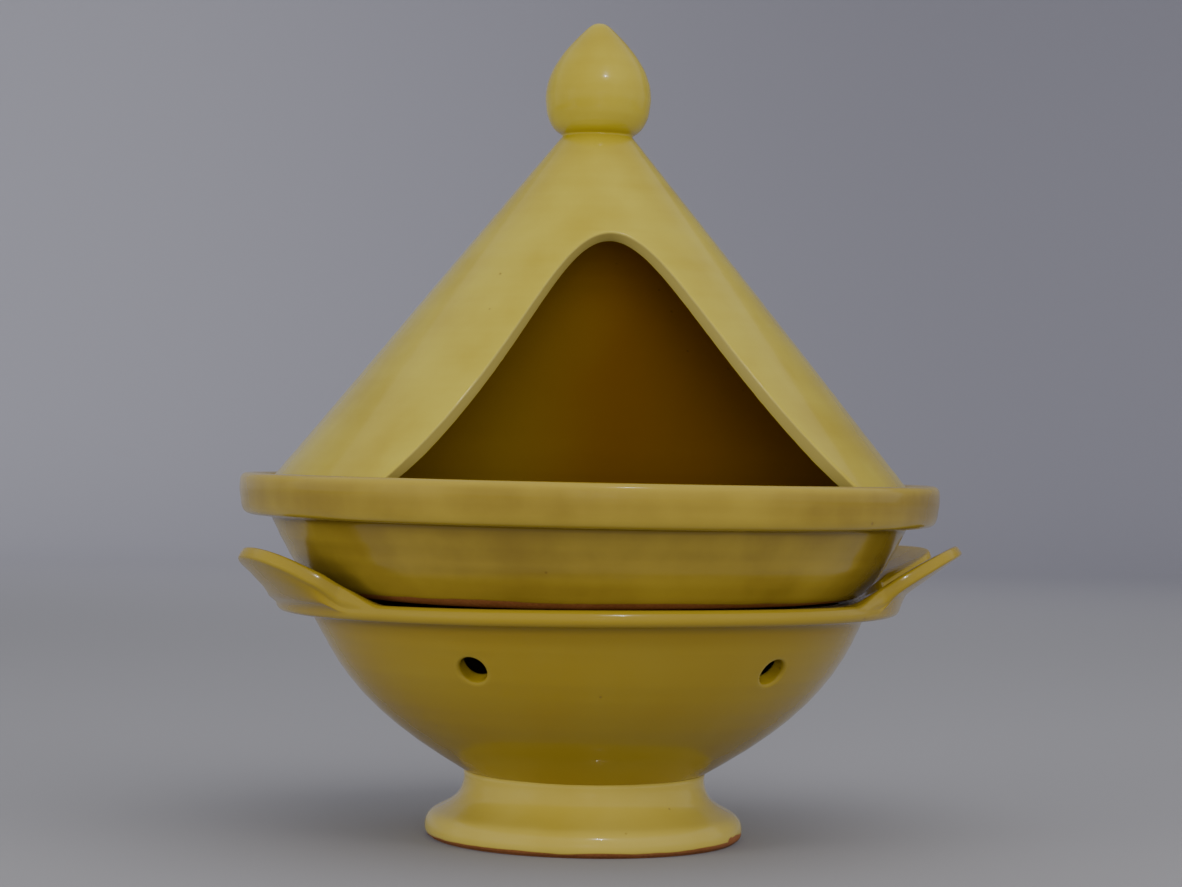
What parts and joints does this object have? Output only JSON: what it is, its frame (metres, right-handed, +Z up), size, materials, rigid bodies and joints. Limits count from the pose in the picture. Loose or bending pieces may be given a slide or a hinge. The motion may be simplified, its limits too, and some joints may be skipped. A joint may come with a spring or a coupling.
{
  "type": "tagine",
  "caption": "Glazed earthenware tagine: cone lid with an arched window and onion knob, on a rimmed dish that stands on a footed charcoal brazier with lugs and vents.",
  "frame": {"origin": "centre of the foot's resting face, on the common axis of foot, bowl, dish and lid", "axes": "+Z up along the common axis; -Y towards the lid's window, the front; +X to the right seen from the front"},
  "size_m": [0.3065, 0.3, 0.3514],
  "materials": {
    "brazier_glaze": "glossy yellow-ochre glaze over terracotta, bare at the foot's resting edge",
    "dish_glaze": "glossy yellow-ochre glaze over terracotta, bare at the base's edge",
    "lid_glaze": "glossy yellow-ochre glaze over terracotta"
  },
  "bodies": {
    "brazier": {"brazier_foot": "brazier_glaze", "brazier_bowl": "brazier_glaze", "brazier_lug_front_right": "brazier_glaze", "brazier_lug_back_right": "brazier_glaze", "brazier_lug_left": "brazier_glaze"},
    "dish": {"dish": "dish_glaze"},
    "lid": {"lid_cone": "lid_glaze", "lid_knob": "lid_glaze"}
  },
  "joints": [
    {"name": "dish_lift", "type": "slide", "parent": "brazier", "child": "dish", "axis": [0, 0, 1], "range_m": [0, 0.12]},
    {"name": "lid_lift", "type": "slide", "parent": "dish", "child": "lid", "axis": [0, 0, 1], "range_m": [0, 0.12]}
  ]
}
